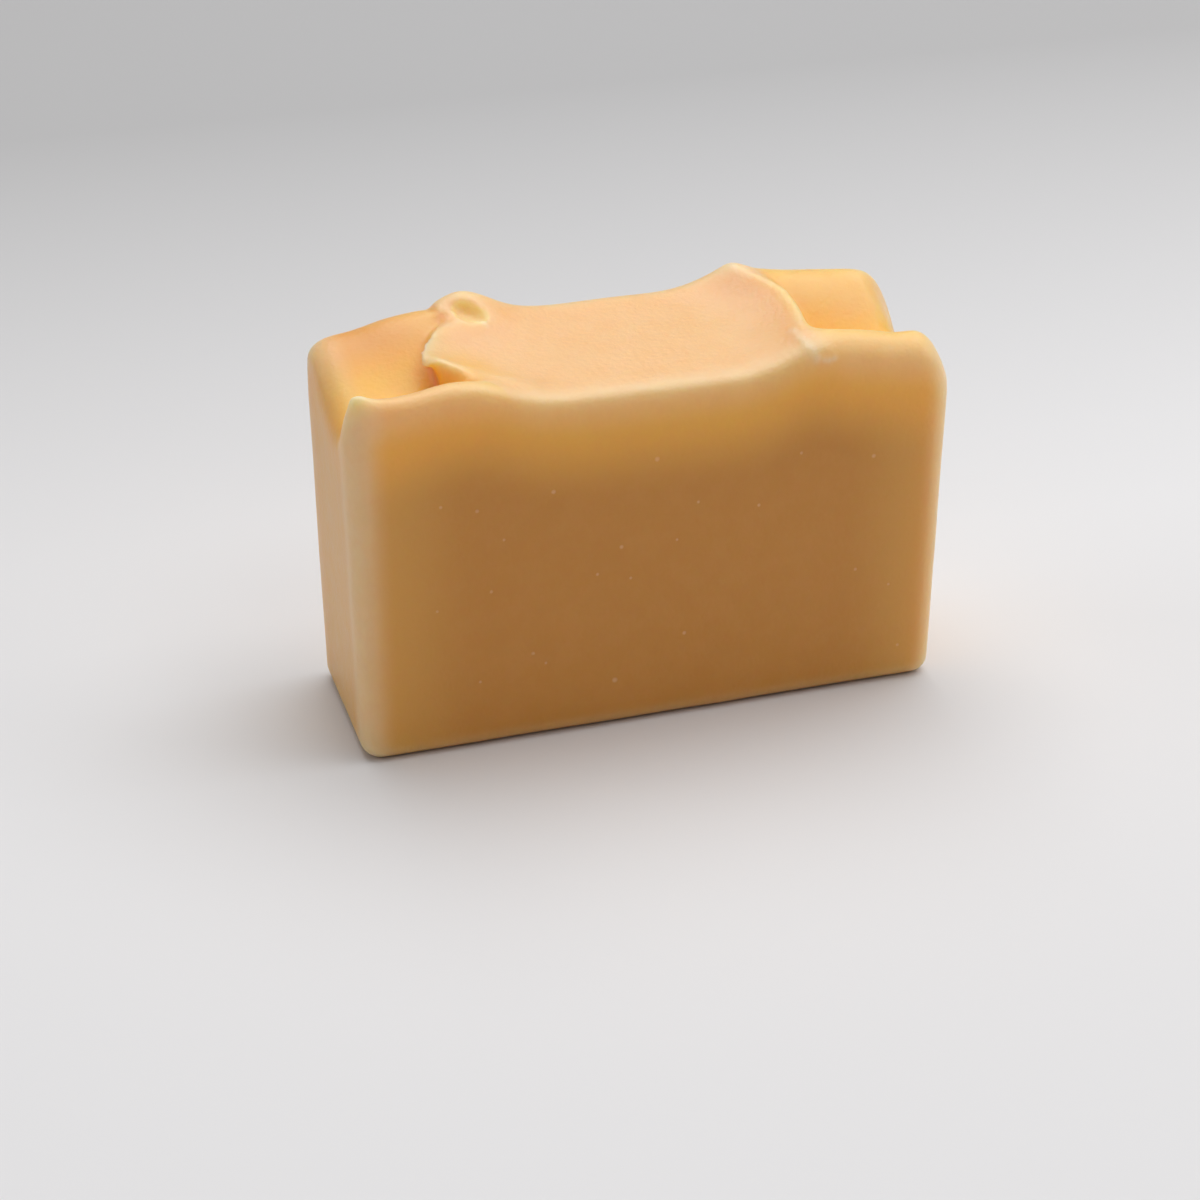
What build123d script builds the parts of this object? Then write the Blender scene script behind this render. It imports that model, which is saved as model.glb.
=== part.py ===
from build123d import *
import os
from math import exp, hypot

# A hand-made bar of soap, cut as one slice from a loaf.
# The slice stands on its base with its cut faces to the front and back.
# Its top was worked with a spoon while soft: one stroke lengthwise, then one across the middle.
# All sizes are in millimetres. +X runs along the bar, +Y to the back, +Z up.

# The slice
bar_length = 86.25
bar_thickness = 29.5
saddle_height = 51.4
side_skew = 1.7
upright_edge_radius = 3.0
base_edge_radius = 2.4

# The mould's sides stand higher than the batter and lean outwards, the left one more
mould_headroom = 10.6
mould_height = saddle_height + mould_headroom
left_lean = 1.6
right_lean = 1.0

# Crest lines of the long ridges: distance from the near end, rise over the saddle
front_crest_left = [
    (0, 1.9), (1.3, 3.3), (2.9, 3.5), (5.5, 2.6), (9.7, 2.9),
    (15.7, 3.8), (19.2, 3.6), (23.4, 2.2), (27.7, 0.7), (36, 0.1),
]
front_crest_right = [
    (36, 0.0), (30.5, 0.7), (26.5, 2.2), (23, 4.0), (21, 4.6),
    (17.5, 3.9), (13, 3.2), (8, 2.2), (0, 1.2),
]
back_crest_left = [(0, 2.4), (4.6, 2.5), (8.6, 3.0), (13.6, 4.2), (19.6, 4.8)]
back_crest_right = [(21, 5.2), (17, 4.6), (10.5, 3.9), (4, 3.1), (0, 2.4)]
front_setback_left = 2.0
front_setback_right = 3.6
back_setback = 4.0

# How far the ridges fall from their crests to the cut faces
front_drop_left = 2.0
front_drop_right = 2.8
back_drop = 2.2

# The lengthwise stroke leaves a trough at each end
left_trough_depth = 3.0
left_trough_from_front = 6.8
left_trough_drift = 2.4
left_trough_climb = 0.6
left_trough_run = 17.0
right_trough_depth = 4.0
right_trough_from_front = 11.5

# The stroke across leaves a saddle that climbs to the back, with thrown-up rims
saddle_climb = 3.1
left_rim_reach = 11.0
left_rim_rise = 2.6
left_rim_back_fade = 0.75
left_rim_front_slant = 0.95
left_rim_back_slant = 0.6
left_rim_back_limit = 6.8
right_rim_from_right = 20.6
right_rim_reach = 12.5
right_rim_rise = 3.7
right_rim_front_drift = 1.9
right_rim_back_drift = 4.3
rim_wall_width = 3.5

# The saddle keeps the front ridge's brow on the left, and its front and back edges are worn down
brow_end = 45.0
brow_width = 7.5
front_edge_width = 1.6
front_edge_drop = 0.9
back_edge_width = 2.5
back_edge_drop = 1.6

# The left rim is a curled lip: its beak overhangs the trough like a breaking wave
beak_from_left = 13.75
beak_from_front = 12.3
beak_roundness = 0.8
beak_droop = 1.3
beak_half_width = 1.4
curl_behind_beak = 0.7
curl_half_width = 3.2
curl_undercut = 1.8
curl_hollow = 0.9
curl_hook = 1.8
curl_hook_drop = 0.7
left_wall_width = 2.2
left_wall_drop = 1.6

# In front of the beak the lip turns into a soft roll
roll_width = 3.0
roll_pull = 2.4
roll_from = 11.5
roll_to = 7.5

# The batter folded over itself behind the lip, round a small pocket
fold_from_left = 24.45
fold_from_back = 3.5
fold_rise = 3.7
fold_half_width = 4.2
fold_left_side = 3.2
fold_right_side = 4.6
pocket_from_left = 24.45
pocket_from_back = 6.2
pocket_length = 6.8
pocket_width = 7.2
pocket_height = 2.4
pocket_lift = 1.0
pocket_turn = -20.0
pocket_tilt = 46.0

# The ridges' ends are worn down at the mould's sides, the right ones most, its back ridge above all
left_wear_reach = 3.5
left_wear_drop = 2.0
right_wear_reach = 4.4
right_wear_drop = 6.6
back_wear_drop = 1.4
back_ridge_wear_reach = 1.8
back_ridge_wear_drop = 1.6
trough_wear_relief = 0.45
trough_wear_half_width = 2.5

# The lofted top: how far it runs past the slice, and its sections across the thickness
overrun = 1.6
face_margin = 1.3
section_gaps = 15
body_floor = -5.0

# Shares of the saddle's length at which its height is set, close together at both rims
saddle_shares = (0, 0.03, 0.075, 0.13, 0.19, 0.26, 0.36, 0.5, 0.65, 0.78, 0.88, 0.95, 0.985, 1)


def eased(start, end, value):
    """Climbs smoothly from 0 at start to 1 at end."""
    share = min(1.0, max(0.0, (value - start) / (end - start)))
    return share * share * (3 - 2 * share)


def bell(distance, half_width):
    """1 at no distance, fading out on both sides."""
    return exp(-0.5 * (distance / half_width) ** 2)


def worn(distance, width):
    """0 farther in than the width, climbing to 1 at an edge."""
    return (max(0.0, width - distance) / width) ** 2


def curve_height(points, x):
    """Height at x of a smooth curve through a few points, without overshoot."""
    if x <= points[0][0]:
        return points[0][1]
    if x >= points[-1][0]:
        return points[-1][1]
    slopes = [(b[1] - a[1]) / (b[0] - a[0]) for a, b in zip(points, points[1:])]
    inner = [(p + q) / 2 if p * q > 0 else 0.0 for p, q in zip(slopes, slopes[1:])]
    tangents = [slopes[0]] + inner + [slopes[-1]]
    i = max(k for k in range(len(points) - 1) if points[k][0] <= x)
    (xa, za), (xb, zb) = points[i], points[i + 1]
    span = xb - xa
    t = (x - xa) / span
    start = za * (1 + 2 * t) * (1 - t) ** 2 + span * tangents[i] * t * (1 - t) ** 2
    end = zb * t * t * (3 - 2 * t) + span * tangents[i + 1] * t * t * (t - 1)
    return start + end


def bend(start, near_start, near_end, end, count):
    """Points along a smooth bend that leaves start towards near_start and reaches end from near_end."""
    shares = [i / (count - 1) for i in range(count)]
    weights = [((1 - t) ** 3, 3 * t * (1 - t) ** 2, 3 * t * t * (1 - t), t ** 3) for t in shares]
    corners = (start, near_start, near_end, end)
    return [tuple(sum(w * c[axis] for w, c in zip(four, corners)) for axis in (0, 1)) for four in weights]


def left_end(y):
    """The slice's left side at the worked top."""
    return -left_lean + side_skew * y / bar_thickness


def right_end(y):
    """The slice's right side at the worked top."""
    return bar_length + right_lean + side_skew * y / bar_thickness


def crest_line(left_points, right_points):
    """Both halves of a ridge as one list of (x, z), each placed from its own end."""
    from_left = [(left_end(0) + d, saddle_height + rise) for d, rise in left_points]
    from_right = [(right_end(0) - d, saddle_height + rise) for d, rise in right_points]
    return from_left + from_right


front_crest = crest_line(front_crest_left, front_crest_right)
back_crest = crest_line(back_crest_left, back_crest_right)


def across(x, y, floor, front_setback, front_drop):
    """Height of a trough, from the front ridge down to its floor at (y, z) and up to the back ridge."""
    floor_y, floor_z = floor
    front_z = curve_height(front_crest, x)
    back_y, back_z = bar_thickness - back_setback, curve_height(back_crest, x)
    if y <= front_setback:
        return front_z - front_drop * ((front_setback - y) / front_setback) ** 2
    if y >= back_y:
        return back_z - back_drop * ((y - back_y) / back_setback) ** 2
    if y < floor_y:
        return floor_z + (front_z - floor_z) * eased(floor_y, front_setback, y)
    return floor_z + (back_z - floor_z) * eased(floor_y, back_y, y)


def left_trough(x, y):
    """Height of the left trough, which drifts back and climbs a little towards the lip."""
    run = eased(0, left_trough_run, x - left_end(0))
    floor_y = left_trough_from_front + left_trough_drift * run
    floor_z = saddle_height - left_trough_depth + left_trough_climb * run
    return across(x, y, (floor_y, floor_z), front_setback_left, front_drop_left)


def right_trough(x, y):
    """Height of the right trough, which runs straight."""
    floor = (right_trough_from_front, saddle_height - right_trough_depth)
    return across(x, y, floor, front_setback_right, front_drop_right)


def left_rim(y):
    """Where the saddle ends on the left: a pointed line, farthest left at the beak."""
    tip = left_end(0) + beak_from_left
    away = hypot(y - beak_from_front, beak_roundness)
    if y < beak_from_front:
        return tip + left_rim_front_slant * away
    return tip + min(left_rim_back_slant * away, left_rim_back_limit)


def right_rim(y):
    """Where the saddle ends on the right: nearly straight, turning in towards the back."""
    line = right_end(0) - right_rim_from_right + right_rim_front_drift * eased(3, 14, y)
    return line - right_rim_back_drift * eased(bar_thickness - 12.5, bar_thickness - 2, y)


def saddle(x, y):
    """Height of the stroke across: its climb, both rims, the brow, the fold and the worn edges."""
    height = saddle_height + saddle_climb * y / bar_thickness
    back_fade = 1 - left_rim_back_fade * eased(bar_thickness - 10.5, bar_thickness - 5.5, y)
    left_rise = left_rim_rise * worn(x - left_rim(y), left_rim_reach) * eased(1, 7, y) * back_fade
    right_rise = right_rim_rise * worn(right_rim(y) - x, right_rim_reach)
    height += left_rise + right_rise
    if x < left_end(0) + brow_end:
        brow = curve_height(front_crest, x) - saddle_height - 0.2
        height += max(0.0, brow) * (1 - eased(front_setback_left, brow_width, y))
    fold_x = x - left_end(0) - fold_from_left
    fold_y = y - bar_thickness + fold_from_back
    fold_side = fold_left_side if fold_x < 0 else fold_right_side
    height += fold_rise * bell(fold_x, fold_side) * bell(fold_y, fold_half_width)
    return height - front_edge_drop * worn(y, front_edge_width) \
        - back_edge_drop * worn(bar_thickness - y, back_edge_width)


def end_wear(x, y):
    """How far the ridges' ends are worn down where they meet the mould's sides."""
    on_back_ridge = eased(12, 17, y) * (1 - eased(22, 26.5, y))
    right_reach = right_wear_reach + back_ridge_wear_reach * on_back_ridge
    right_drop = right_wear_drop + back_wear_drop * eased(10, 20, y) + back_ridge_wear_drop * on_back_ridge
    right_drop *= 1 - trough_wear_relief * bell(y - right_trough_from_front, trough_wear_half_width)
    left_drop = left_wear_drop * eased(3, 9, y)
    return left_drop * worn(x - left_end(y), left_wear_reach) + right_drop * worn(right_end(y) - x, right_reach)


def top_profile(y):
    """The top in one plane across the bar's thickness, from left to right, as four runs of (x, z)."""
    inside = min(bar_thickness, max(0.0, y))
    start, end = left_end(0) - overrun, right_end(bar_thickness) + overrun
    rim, far_rim = left_rim(y), right_rim(y) - 0.8
    softness = 1 - eased(roll_to, roll_from, y)
    curl = bell(y - beak_from_front - curl_behind_beak, curl_half_width) * (1 - softness)
    steep = (1 - softness) * (1 - curl)
    droop = beak_droop * bell(y - beak_from_front, beak_half_width)

    lip_x = rim + roll_width * softness
    lip_z = saddle(lip_x, inside) - droop
    foot_x = rim - left_wall_width * (1 - curl) + curl_undercut * curl
    foot_z = left_trough(foot_x, inside)
    near_foot = (foot_x + 0.5 + curl_hollow * curl, foot_z + 0.2)
    near_lip_x = lip_x - roll_pull * softness + curl_hook * curl - 0.3 * steep
    near_lip_z = lip_z - curl_hook_drop * curl - left_wall_drop * steep
    crest_z = saddle(far_rim, inside)
    edge_x = far_rim + rim_wall_width + 0.8
    edge_z = right_trough(edge_x, inside)

    near_trough, dip, far_trough = [], [], []
    for i in range(8):
        x = start + (foot_x - start) * i / 7
        near_trough.append((x, left_trough(x, inside) - end_wear(x, inside)))
    for share in saddle_shares:
        x = lip_x + (far_rim - lip_x) * share
        dip.append((x, saddle(x, inside) - droop * exp((lip_x - x) / 1.2)))
    for i in range(7):
        x = edge_x + (end - edge_x) * i / 6
        far_trough.append((x, right_trough(x, inside) - end_wear(x, inside)))
    curled_wall = bend((foot_x, foot_z), near_foot, (near_lip_x, near_lip_z), (lip_x, lip_z), 8)
    shoulder, heel = (far_rim + 1.0, crest_z + 0.5), (edge_x - 1.6, edge_z + 0.2)
    far_wall = bend((far_rim, crest_z), shoulder, heel, (edge_x, edge_z), 6)
    return near_trough, curled_wall, dip, far_wall[:-1] + far_trough


def loaf_slice():
    """The slice as it leaves the mould: the loaf's section, cut a little off square."""
    corners = [(0, 0), (bar_length, 0), (bar_length + right_lean, mould_height), (-left_lean, mould_height)]
    section = Plane.XZ * make_face(Polyline(*corners, close=True))
    cut = Vector(side_skew, bar_thickness, 0)
    block = extrude(section, amount=cut.length, dir=cut)
    uprights = [e for e in block.edges() if abs(e.center().Z - mould_height / 2) < 1]
    block = fillet(uprights, upright_edge_radius)
    base = [e for e in block.edges() if e.center().Z < 0.001]
    return fillet(base, base_edge_radius)


def spooned_batter():
    """A lofted body that fills the mould up to the worked top."""
    sections = []
    for i in range(section_gaps + 1):
        y = -face_margin + (bar_thickness + 2 * face_margin) * i / section_gaps
        edges = []
        for run in top_profile(y):
            points = [Vector(x, y, z) for x, z in run]
            shares = [k / (len(points) - 1) for k in range(len(points))]
            edges.append(Edge.make_spline(points, parameters=shares))
        first, last = edges[0] @ 0, edges[-1] @ 1
        left_foot, right_foot = Vector(first.X, y, body_floor), Vector(last.X, y, body_floor)
        edges.append(Edge.make_line(last, right_foot))
        edges.append(Edge.make_line(right_foot, left_foot))
        edges.append(Edge.make_line(left_foot, first))
        sections.append(Wire(edges))
    return Solid.make_loft(sections)


def pocket():
    """A tilted, egg-shaped hollow in front of the fold."""
    body = scale(Sphere(1), by=(pocket_length / 2, pocket_width / 2, pocket_height / 2))
    x, y = left_end(0) + pocket_from_left, bar_thickness - pocket_from_back
    return Pos(x, y, saddle(x, y) + pocket_lift) * Rot(0, 0, pocket_turn) * Rot(pocket_tilt, 0, 0) * body


soap_bar = loaf_slice() & spooned_batter()
soap_bar -= pocket()
corners = soap_bar.tessellate(0.1, 0.3)[0]
middle = (min(c.X for c in corners) + max(c.X for c in corners)) / 2
soap_bar = Pos(-middle, -bar_thickness / 2, 0) * soap_bar

os.makedirs("parts", exist_ok=True)
export_step(soap_bar, "parts/soap_bar.step")
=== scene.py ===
import math

import bpy
import numpy as np
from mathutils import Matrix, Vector, noise


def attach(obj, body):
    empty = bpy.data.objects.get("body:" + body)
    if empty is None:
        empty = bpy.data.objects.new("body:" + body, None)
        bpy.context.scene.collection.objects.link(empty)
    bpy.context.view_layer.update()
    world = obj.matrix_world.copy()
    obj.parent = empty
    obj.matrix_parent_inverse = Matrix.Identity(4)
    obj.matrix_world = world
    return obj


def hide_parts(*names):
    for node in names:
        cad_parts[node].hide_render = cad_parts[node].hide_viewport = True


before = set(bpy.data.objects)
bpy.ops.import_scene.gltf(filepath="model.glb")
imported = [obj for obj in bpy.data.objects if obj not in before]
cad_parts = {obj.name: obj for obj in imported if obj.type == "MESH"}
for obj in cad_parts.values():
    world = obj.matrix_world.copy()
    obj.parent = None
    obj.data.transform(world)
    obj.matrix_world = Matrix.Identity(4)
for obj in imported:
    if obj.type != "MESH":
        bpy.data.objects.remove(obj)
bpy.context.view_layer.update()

# Camera: a hand-held view from the front left, looking down at the cut face, the worked top
# and a sliver of the left end.
camera_place = (-0.13106, -0.36511, 0.20675)
camera_turn = (63.333, -0.282, -19.033)
camera_data = bpy.data.cameras.new("view")
camera_data.sensor_width = 36.0
camera_data.lens = 89.24
camera = bpy.data.objects.new("view", camera_data)
camera.location = camera_place
camera.rotation_euler = [math.radians(angle) for angle in camera_turn]
bpy.context.scene.collection.objects.link(camera)
bpy.context.scene.camera = camera

# Floor: a wide sheet of pale card that the bar stands on.
# It is painted a darker grey towards its far side: painted shade for the less light that falls there.
floor_width = 8.0
near_share, near_grey = 0.505, (0.76, 0.76, 0.78, 1.0)
far_share, far_shade_grey = 0.535, (0.46, 0.46, 0.47, 1.0)
bpy.ops.object.select_all(action="DESELECT")
bpy.ops.mesh.primitive_plane_add(size=floor_width, location=(0.0, 0.0, 0.0))
floor = bpy.context.object
floor.name = "floor"
card = bpy.data.materials.new("pale_card")
card.use_nodes = True
card_shader = card.node_tree.nodes["Principled BSDF"]
card_shader.inputs["Roughness"].default_value = 0.9
card_shader.inputs["Specular IOR Level"].default_value = 0.2
across_floor = card.node_tree.nodes.new("ShaderNodeTexCoord")
depth = card.node_tree.nodes.new("ShaderNodeSeparateXYZ")
greys = card.node_tree.nodes.new("ShaderNodeValToRGB")
greys.color_ramp.elements[0].position = near_share
greys.color_ramp.elements[0].color = near_grey
greys.color_ramp.elements[1].position = far_share
greys.color_ramp.elements[1].color = far_shade_grey
card.node_tree.links.new(across_floor.outputs["Generated"], depth.inputs[0])
card.node_tree.links.new(depth.outputs["Y"], greys.inputs["Fac"])
card.node_tree.links.new(greys.outputs["Color"], card_shader.inputs["Base Color"])
floor.data.materials.append(card)

# Light: one broad soft box overhead, a little behind and to the right, weak ones to the right, to the
# left and in front, and a dim room all round.
room_colour = (0.94, 0.96, 1.0, 1.0)
room_strength = 0.15
bpy.context.scene.view_settings.view_transform = "Standard"
room = bpy.data.worlds.new("dim_room")
room.use_nodes = True
room.node_tree.nodes["Background"].inputs["Color"].default_value = room_colour
room.node_tree.nodes["Background"].inputs["Strength"].default_value = room_strength
bpy.context.scene.world = room


def soft_box(name, place, aim, size, watts, colour):
    lamp = bpy.data.lights.new(name, "AREA")
    lamp.shape = "RECTANGLE"
    lamp.size, lamp.size_y = size
    lamp.energy = watts
    lamp.color = colour
    box = bpy.data.objects.new(name, lamp)
    box.location = place
    box.rotation_euler = (Vector(aim) - Vector(place)).to_track_quat("-Z", "Y").to_euler()
    bpy.context.scene.collection.objects.link(box)


soft_box("overhead_light", (0.35, 0.40, 1.4), (0.0, 0.0, 0.0), (2.0, 1.4), 25.0, (1.0, 0.99, 0.97))
soft_box("right_light", (1.0, -0.35, 0.6), (0.0, 0.0, 0.03), (0.6, 0.6), 2.0, (1.0, 0.98, 0.95))
soft_box("left_light", (-1.1, 0.25, 0.7), (0.0, 0.0, 0.03), (0.8, 0.6), 1.6, (1.0, 0.97, 0.93))
soft_box("front_light", (0.3, -0.9, 1.3), (0.0, 0.0, 0.04), (0.8, 0.5), 2.0, (1.0, 0.97, 0.93))

# Bar of soap: one slice of a hand-poured loaf, cured until it is hard and waxy.
# Its cut faces are smooth, its ends lean as the mould's sides did,
# and its top was swirled with a spoon while the batter was thick.
mm = 0.001
merge_distance = 0.02 * mm
skin_step = 0.3 * mm
triangle_count = 190000

# All other sizes of the bar are in millimetres.
cut_face = 14.75
left_end = 44.0

bpy.ops.object.select_all(action="DESELECT")
soap = bpy.data.objects.new("worked_soap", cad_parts["soap_bar"].data.copy())
bpy.context.scene.collection.objects.link(soap)
soap.data.materials.clear()
bpy.context.view_layer.objects.active = soap
soap.select_set(True)
bpy.ops.object.mode_set(mode="EDIT")
bpy.ops.mesh.select_all(action="SELECT")
bpy.ops.mesh.remove_doubles(threshold=merge_distance)
bpy.ops.object.mode_set(mode="OBJECT")

skin = soap.modifiers.new("even_skin", "REMESH")
skin.mode = "VOXEL"
skin.voxel_size = skin_step
bpy.ops.object.modifier_apply(modifier=skin.name)


def read_skin():
    count = len(soap.data.vertices)
    places = np.empty(count * 3)
    normals = np.empty(count * 3)
    soap.data.vertices.foreach_get("co", places)
    soap.data.vertex_normals.foreach_get("vector", normals)
    return places.reshape(-1, 3) / mm, normals.reshape(-1, 3)


def write_skin(places):
    soap.data.vertices.foreach_set("co", (places * mm).ravel())
    soap.data.update()


def bell(distance, half_width):
    return np.exp(-0.5 * (distance / half_width) ** 2)


def eased(start, end, value):
    """0 up to start, rising smoothly to 1 at end."""
    share = np.clip((value - start) / (end - start), 0.0, 1.0)
    return share * share * (3.0 - 2.0 * share)


def worn(places, weights, passes):
    """Draws each vertex towards its neighbours, as handling rounds off an edge."""
    places = places.copy()
    count = len(places)
    ends = np.empty(len(soap.data.edges) * 2, dtype=np.int32)
    soap.data.edges.foreach_get("vertices", ends)
    here, there = ends.reshape(-1, 2).T
    joined = np.bincount(here, minlength=count) + np.bincount(there, minlength=count)
    pull = 0.5 * weights / joined
    for _ in range(passes):
        for axis in (0, 1, 2):
            line = places[:, axis]
            near = np.bincount(here, line[there], count) + np.bincount(there, line[here], count)
            places[:, axis] = line + pull * (near - joined * line)
    return places


def along(places, points):
    """Distance of each vertex from a line through a few points."""
    nearest = np.full(len(places), 1e9)
    for start, end in zip(points, points[1:] or points):
        start, run = np.array(start), np.array(end) - np.array(start)
        share = np.clip((places - start) @ run / max(run @ run, 1e-9), 0.0, 1.0)
        nearest = np.minimum(nearest, np.linalg.norm(places - start - share[:, None] * run, axis=1))
    return nearest


def rubbed(places, points, full, none, passes):
    """Wears the skin along a line: in full up to one distance from it, and not at all from the other."""
    return worn(places, 1.0 - eased(full, none, along(places, points)), passes)


def drawn(places, moves):
    """Draws the soft batter by moves that fade out round their centres."""
    for centre, reach, move in moves:
        places = places + bell(along(places, [centre]), reach)[:, None] * np.array(move)
    return places


def raised(places, normals, points, half_width, height):
    """Raises a ridge on the skin along a line."""
    return places + normals * (height * bell(along(places, points), half_width))[:, None]


def hollowed(places, centre, axis, facing, half_length, half_width, depth):
    """Presses an oval bowl into the skin, with its long axis along axis and its mouth towards facing."""
    mouth_reach = 2.5
    rim_softness = 0.15
    axis, facing = np.array(axis), np.array(facing)
    facing = facing - axis * (facing @ axis) / (axis @ axis)
    across = np.cross(facing, axis)
    lines = np.array([line / np.linalg.norm(line) for line in (axis, across, facing)])
    local = (places - centre) @ lines.T
    inside = 1.0 - (local[:, 0] / half_length) ** 2 - (local[:, 1] / half_width) ** 2
    inside = np.where(np.abs(local[:, 2]) < mouth_reach, np.clip(inside, 0.0, 1.0), 0.0)
    share = eased(0.0, rim_softness, inside)
    drop = (-depth * np.sqrt(inside) - local[:, 2]) * share
    return places + drop[:, None] * lines[2]


# The heights of the top's edge along the front, the back and the left end, read off the solid.
columns = np.linspace(-42.5, 42.5, 35)
rows = np.linspace(-13.5, 13.5, 19)
column_reach, row_reach = 1.5, 1.0
places, normals = read_skin()
x, y, z = places.T
on_front, on_back, on_left = y < -14.2, y > 14.2, x < -42.6
front_heights = [z[on_front & (np.abs(x - column) < column_reach)].max() for column in columns]
back_heights = [z[on_back & (np.abs(x - column) < column_reach)].max() for column in columns]
left_heights = [z[on_left & (np.abs(y - row) < row_reach)].max() for row in rows]

# Every edge is worn round by handling, the top's front and back edges more.
places = worn(places, np.ones(len(x)), 5)
x, y, z = places.T
from_front = np.hypot(y + cut_face, z - np.interp(x, columns, front_heights))
from_back = np.hypot(y - cut_face, z - np.interp(x, columns, back_heights))
from_left = np.hypot(x + left_end, z - np.interp(y, rows, left_heights))
places = worn(places, 1.0 - eased(2.0, 6.0, from_front), 80)
places = worn(places, 1.0 - eased(1.0, 4.0, from_back), 30)

# The left end's top edge sank while the batter was soft, least near the front corner and at the back.
sag_depth, sag_width = 1.0, 4.0
sagging = (1.0 - eased(3.0, 8.0, from_left)) * (1.0 - 0.7 * eased(2.0, 9.0, y))
toward_end = np.clip(1.0 - (places[:, 0] + left_end) / sag_width, 0.0, 1.0) ** 2
places[:, 2] -= sag_depth * sagging * toward_end * eased(-13.5, -9.0, y)
places = worn(places, sagging, 120)

# The lip's front roll, the lip's edge and the right rim are rounded.
roll = [(-29.0, -4.2, 53.8), (-26.5, -6.0, 53.6), (-24.0, -8.4, 53.6)]
lip_edge = [
    (-31.2, -2.3, 54.2), (-29.3, 0.6, 55.1), (-26.8, 4.0, 55.7), (-25.0, 7.8, 55.8), (-24.6, 10.5, 56.6),
]
right_rim = [
    (22.4, -14.0, 55.2), (23.3, -7.0, 55.9), (24.3, -1.0, 56.5), (23.6, 5.0, 57.2), (20.8, 10.0, 57.7),
]
places = rubbed(places, roll, 1.2, 2.4, 50)
places = rubbed(places, lip_edge, 0.8, 2.0, 22)
places = rubbed(places, right_rim, 0.8, 2.2, 18)

# The lip's neck is drawn in, its beak hangs down to a point, and the roll in front of it is lifted.
neck = (
    ((-25.2, 7.8, 55.2), 1.9, (0.9, 0.0, 0.0)),
    ((-24.6, 11.0, 56.8), 1.2, (-0.4, 0.0, 0.3)),
    ((-24.7, 9.5, 55.9), 1.0, (-0.3, -0.1, 0.6)),
)
beak = (
    ((-29.0, 0.6, 55.2), 1.2, (-0.5, 0.0, 0.0)),
    ((-30.1, -0.8, 54.9), 1.1, (-0.5, 0.0, 0.0)),
    ((-31.2, -2.6, 53.9), 0.9, (-0.35, -0.3, -1.0)),
    ((-31.4, -3.0, 53.2), 0.7, (-0.25, -0.2, -0.8)),
)
roll_lift = (
    ((-28.8, -4.0, 53.8), 1.2, (0.0, 0.0, 0.8)),
    ((-26.8, -5.6, 53.7), 1.4, (0.0, 0.0, 0.4)),
)
places = drawn(places, neck + beak + roll_lift)
places = rubbed(places, lip_edge, 0.8, 2.0, 5)

# A small bowl opens behind the lip, crisp in front and soft behind.
bowl_centre = (-20.7, 8.1, 56.2)
bowl_axis = (0.75, -0.63, -0.21)
bowl_facing = (-0.13, -0.45, 0.88)
bowl_back = [(-22.8, 10.4, 57.2), (-20.6, 9.7, 57.2), (-18.8, 8.2, 56.6)]
places = hollowed(places, bowl_centre, bowl_axis, bowl_facing, half_length=2.9, half_width=1.4, depth=0.75)
places = rubbed(places, bowl_back, 0.8, 2.2, 30)

# The front left corner was pinched into a small crest, with its outer side worn away.
pinch = (
    ((-42.9, -12.7, 54.4), 1.4, (0.0, 0.0, 1.0)),
    ((-40.0, -12.8, 54.0), 2.2, (0.0, 0.0, 0.4)),
    ((-44.5, -13.4, 53.6), 1.3, (0.25, 0.2, -0.2)),
)
pinch_top = (-42.9, -12.8, 55.0)
places = drawn(places, pinch)
places = worn(places, bell(along(places, [pinch_top]), 1.5), 40)

# A thin fold of batter runs over the right rim on to the front face, and ends in crumbs.
# Small lumps stand on the pinched crest and beside the bowl.
fold = [(21.1, -8.4, 54.5), (21.2, -11.1, 54.4), (21.5, -13.4, 54.0), (22.3, -14.6, 52.8)]
crumbs = [(23.4, -14.6, 52.3), (24.1, -14.7, 52.2), (24.9, -14.7, 52.4)]
crest_lump = [(-43.2, -12.9, 54.9), (-42.2, -12.7, 54.9)]
bowl_lump = [(-19.4, 5.6, 55.6), (-19.1, 5.2, 55.5)]
write_skin(places)
places, normals = read_skin()
places = raised(places, normals, fold, 0.5, 0.15)
for crumb in crumbs:
    places = raised(places, normals, [crumb], 0.3, 0.15)
places = raised(places, normals, crest_lump, 0.7, 0.2)
places = raised(places, normals, bowl_lump, 0.35, 0.25)
write_skin(places)

# Cured soap is never quite flat, so there is low unevenness all over.
swell_height = 0.10
swells_per_mm = 0.055
places, normals = read_skin()
swell = np.array([noise.fractal(Vector(place) * swells_per_mm, 1.0, 2.0, 2) for place in places])
places += normals * (swell_height * swell)[:, None]
write_skin(places)

# How far each part of the skin stands out from its surroundings, which sets how pale it is painted: partly
# dried skin and partly painted glow on the crests, and painted shade in the sunken parts.
smoothed = worn(places, np.ones(len(places)), 120)
standing = ((places - smoothed) * normals).sum(axis=1)
standing_mark = soap.data.attributes.new("standing", "FLOAT", "POINT")
standing_mark.data.foreach_set("value", np.clip(standing, -1.0, 1.0))

# The skin is thinned to what its curves need.
thin = soap.modifiers.new("thin_skin", "DECIMATE")
thin.ratio = min(1.0, triangle_count / (2 * len(soap.data.polygons)))
bpy.ops.object.modifier_apply(modifier=thin.name)
bpy.ops.object.shade_smooth()
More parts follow.
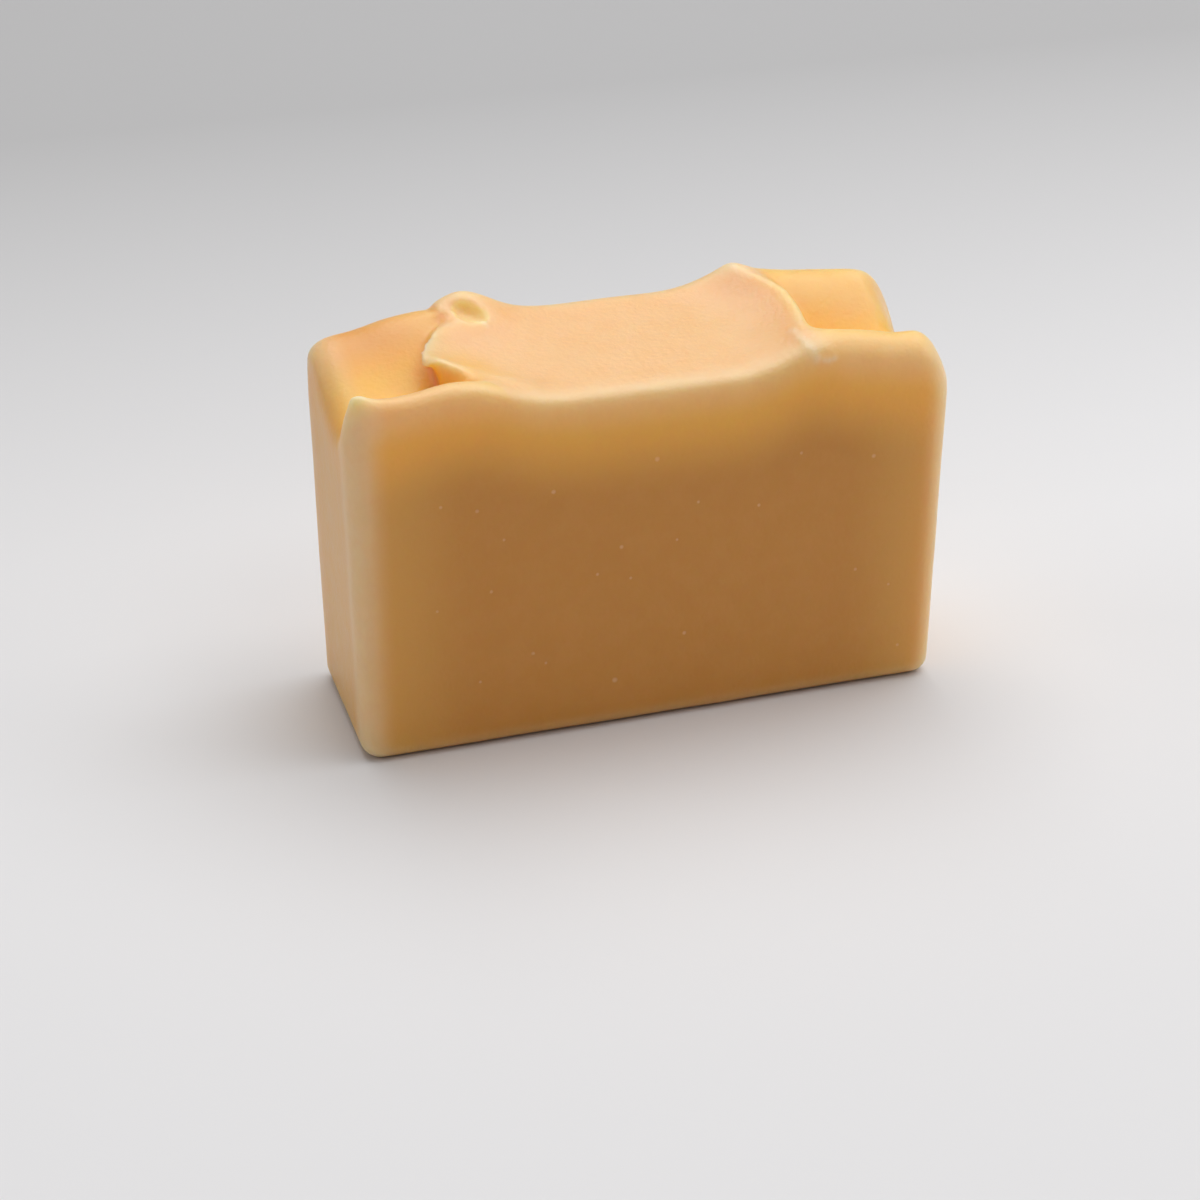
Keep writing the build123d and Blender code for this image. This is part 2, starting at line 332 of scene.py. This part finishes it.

# Marks on the skin for its colours: the height of the front edge at each place along the bar, the bowl, for
# a painted glow, the top between the lip and the right rim, the long top edges, for a painted glow, and
# where ash has gathered, with a painted highlight on the lump beside the bowl.
places, normals = read_skin()
x, y, z = places.T
lip_rows = (-14.0, -8.0, -2.5, 0.6, 4.0, 7.8, 10.5, 12.0, 14.0)
lip_columns = (-22.0, -27.0, -31.8, -30.2, -27.6, -25.4, -25.2, -25.4, -25.6)
from_lip = x - np.interp(y, lip_rows, lip_columns)
bowl_line = [(-21.6, 8.9, 56.3), (-19.8, 7.4, 55.9)]
bowl_reach = 2.0
edge_below_crest = 0.8
from_front = np.hypot(y + cut_face, z - np.interp(x, columns, front_heights) + edge_below_crest)
from_back = np.hypot(y - cut_face, z - np.interp(x, columns, back_heights) + edge_below_crest)
right_peak = [(20.8, 10.0, 57.7), (19.4, 11.6, 57.9)]
# Chalk marks ash on the right peak, the fold and the crumbs, and is a painted highlight on the lump beside
# the bowl.
ash_and_glint_lines = [(right_peak, 1.4), (fold, 0.6), (bowl_lump, 0.4)]
ash_and_glint_lines += [([crumb], 0.35) for crumb in crumbs]
marks = {
    "edge_height": np.interp(x, columns, front_heights) * mm,
    # Inside the bowl the colour gets a painted glow, for light coming through the soap.
    "hollow": eased(0.0, 0.6, 1.0 - (along(places, bowl_line) / bowl_reach) ** 2),
    "stroke": eased(-0.4, 0.5, from_lip) * (1.0 - eased(22.0, 25.5, x)) * eased(48.0, 50.0, z),
    # The long top edges get a painted glow, for light coming through the rounded edge.
    "brow_glow": 1.0 - eased(0.5, 5.5, np.minimum(from_front, from_back)),
    "ash_and_glint": np.max([bell(along(places, line), half_width) for line, half_width in ash_and_glint_lines], axis=0),
}
for name, amounts in marks.items():
    mark = soap.data.attributes.new(name, "FLOAT", "POINT")
    mark.data.foreach_set("value", amounts)

# Material: waxy, honey-coloured and translucent, deep amber inside and paler where it has dried. Its
# colours also carry painted light: glow near the ends, along the top edges and in the bowl, shade in the
# left trough and the hollows, and highlights on a small lump and in the pinholes.
wax = bpy.data.materials.new("honey_soap")
wax.use_nodes = True
nodes, links = wax.node_tree.nodes, wax.node_tree.links
shader = nodes["Principled BSDF"]
shader.inputs["IOR"].default_value = 1.46
shader.inputs["Subsurface Weight"].default_value = 1.0
shader.inputs["Subsurface Scale"].default_value = 0.006
shader.inputs["Subsurface Radius"].default_value = (1.0, 0.75, 0.45)

spot = nodes.new("ShaderNodeTexCoord")
axes = nodes.new("ShaderNodeSeparateXYZ")
links.new(spot.outputs["Object"], axes.inputs[0])


def plug(socket, value):
    if isinstance(value, bpy.types.NodeSocket):
        links.new(value, socket)
    else:
        socket.default_value = value


def formula(kind, first, second=0.0):
    step = nodes.new("ShaderNodeMath")
    step.operation = kind
    plug(step.inputs[0], first)
    plug(step.inputs[1], second)
    return step.outputs[0]


def times(first, second):
    return formula("MULTIPLY", first, second)


def layer(name):
    reader = nodes.new("ShaderNodeAttribute")
    reader.attribute_name = name
    return reader.outputs["Fac"]


def fade(value, near, far):
    """1 at near, falling smoothly to 0 at far."""
    ramp = nodes.new("ShaderNodeMapRange")
    ramp.interpolation_type = "SMOOTHSTEP"
    plug(ramp.inputs["Value"], value)
    plug(ramp.inputs["From Min"], near)
    plug(ramp.inputs["From Max"], far)
    plug(ramp.inputs["To Min"], 1.0)
    plug(ramp.inputs["To Max"], 0.0)
    return ramp.outputs[0]


def blend(share, under, over):
    mixer = nodes.new("ShaderNodeMix")
    mixer.data_type = "RGBA"
    for socket, value in zip((mixer.inputs[0], mixer.inputs[6], mixer.inputs[7]), (share, under, over)):
        plug(socket, value)
    return mixer.outputs[2]


def speckle(scale, detail):
    """Cloudy noise with so many clouds to a metre."""
    cloud = nodes.new("ShaderNodeTexNoise")
    cloud.inputs["Scale"].default_value = scale
    cloud.inputs["Detail"].default_value = detail
    links.new(spot.outputs["Object"], cloud.inputs["Vector"])
    return cloud


amber = (0.68, 0.305, 0.05, 1.0)
ochre_end_glow = (0.83, 0.46, 0.10, 1.0)
golden_glow = (1.0, 0.53, 0.08, 1.0)
toffee_shade_and_mottle = (0.80, 0.39, 0.10, 1.0)
honey = (0.91, 0.57, 0.18, 1.0)
peach = (0.97, 0.57, 0.28, 1.0)
pale_dry_and_lit = (0.99, 0.68, 0.42, 1.0)
chalk_and_glint = (1.0, 0.75, 0.53, 1.0)
glow = (1.0, 0.71, 0.30, 1.0)
clay = (0.90, 0.50, 0.15, 1.0)
bone_edge_glow = (0.92, 0.67, 0.40, 1.0)

below_top = formula("SUBTRACT", layer("edge_height"), axes.outputs["Z"])
from_end = formula("SUBTRACT", left_end * mm, formula("ABSOLUTE", axes.outputs["X"]))
from_middle = formula("ABSOLUTE", axes.outputs["Y"])
on_cut = formula("SUBTRACT", 1.0, fade(from_middle, 8.0 * mm, 14.5 * mm))
on_top = fade(below_top, -0.5 * mm, 2.0 * mm)
# The top corners at the ends get a painted glow, for light coming through the soap there.
top_corner_glow = times(fade(from_end, 1.0 * mm, 6.0 * mm), fade(below_top, 0.0, 6.0 * mm))
standing_out = formula("SUBTRACT", 1.0, fade(layer("standing"), 0.05, 0.6))
# The troughs are honey, turning to darker toffee at the left under the lip: painted shade.
trough_with_shade = blend(fade(axes.outputs["X"], -36.0 * mm, -20.0 * mm), honey, toffee_shade_and_mottle)

# Each tint lies over the ones before it: where it is, how strongly it covers them, and the tint.
tints = (
    # Lighter ochre towards the ends: painted glow where light comes through the soap near the ends.
    (fade(from_end, 2.0 * mm, 18.0 * mm), 0.7, ochre_end_glow),
    # The faces' upper band is golden: painted glow where light from the top comes through the soap.
    (fade(below_top, 3.0 * mm, 16.0 * mm), 1.0, golden_glow),
    # The troughs, with painted shade at the left under the lip.
    (fade(below_top, -1.0 * mm, 3.0 * mm), 1.0, trough_with_shade),
    (times(layer("stroke"), on_top), 1.0, peach),
    (fade(from_end, 0.0, 3.5 * mm), 0.8, clay),
    # A pale bone band along the cut faces' end edges: painted glow where light comes through the thin
    # edges.
    (times(fade(from_end, 0.0, 5.5 * mm), on_cut), 0.8, bone_edge_glow),
    # Sunken skin takes deeper honey: painted shade in the hollows.
    (fade(layer("standing"), -0.45, -0.05), 0.7, honey),
    # Standing skin is paler: partly dried skin, partly painted glow on the crests.
    (standing_out, 0.4, pale_dry_and_lit),
    # Painted glow along the long top edges.
    (layer("brow_glow"), 0.4, pale_dry_and_lit),
    # Painted glow at the top corners of the ends.
    (top_corner_glow, 0.55, pale_dry_and_lit),
    # Ash, with a painted highlight on the lump beside the bowl.
    (layer("ash_and_glint"), 0.5, chalk_and_glint),
    # The bowl: painted glow.
    (layer("hollow"), 0.85, glow),
)
colour = amber
for where, strength, tint in tints:
    colour = blend(times(where, strength), colour, tint)

# The batter set a little uneven, so its colour and shine are faintly mottled.
mottle = speckle(260.0, 5.0)
mottle.inputs["Roughness"].default_value = 0.65
colour = blend(times(fade(mottle.outputs["Fac"], 0.35, 0.6), 0.10), colour, toffee_shade_and_mottle)
links.new(formula("ADD", 0.28, times(mottle.outputs["Fac"], 0.2)), shader.inputs["Roughness"])

# Pinholes in the front cut face, where the wire opened small bubbles of air.
# Each has its place along the bar, its height and its radius.
pinholes = (
    (-16.0, 38.0, 0.40), (-32.0, 38.0, 0.30), (-26.9, 36.7, 0.35), (-23.1, 31.8, 0.28), (-32.8, 22.4, 0.26),
    (-9.6, 24.5, 0.30), (-6.1, 28.2, 0.36), (-4.7, 23.2, 0.28), (-6.9, 7.4, 0.50), (-25.0, 24.2, 0.32),
    (-26.8, 10.5, 0.28), (-19.1, 13.7, 0.34), (-17.2, 11.9, 0.28), (-1.0, 40.8, 0.45), (20.5, 38.7, 0.30),
    (31.6, 36.7, 0.38), (5.2, 33.4, 0.28), (14.3, 31.6, 0.30), (2.1, 28.1, 0.26), (29.6, 19.2, 0.32),
    (34.9, 16.0, 0.26), (36.9, 5.8, 0.30), (3.5, 13.2, 0.36),
)
radii_away = 10.0
for along_bar, up, radius in pinholes:
    reach = nodes.new("ShaderNodeVectorMath")
    reach.operation = "DISTANCE"
    links.new(spot.outputs["Object"], reach.inputs[0])
    reach.inputs[1].default_value = (along_bar * mm, -cut_face * mm, up * mm)
    radii_away = formula("MINIMUM", radii_away, formula("DIVIDE", reach.outputs["Value"], radius * mm))
pit = fade(radii_away, 0.3, 1.1)
# Each pinhole's middle is painted pale: a painted highlight in the pit.
colour = blend(times(pit, 0.35), colour, pale_dry_and_lit)
links.new(colour, shader.inputs["Base Color"])

# Fine grain over all of the skin.
grain = speckle(1300.0, 4.0)
relief = nodes.new("ShaderNodeBump")
relief.inputs["Strength"].default_value = 0.3
relief.inputs["Distance"].default_value = 0.3 * mm
rough_skin = formula("ADD", grain.outputs["Fac"], times(mottle.outputs["Fac"], 0.5))
links.new(formula("SUBTRACT", rough_skin, pit), relief.inputs["Height"])
links.new(relief.outputs["Normal"], shader.inputs["Normal"])
soap.data.materials.append(wax)

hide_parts("soap_bar")
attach(soap, "root")
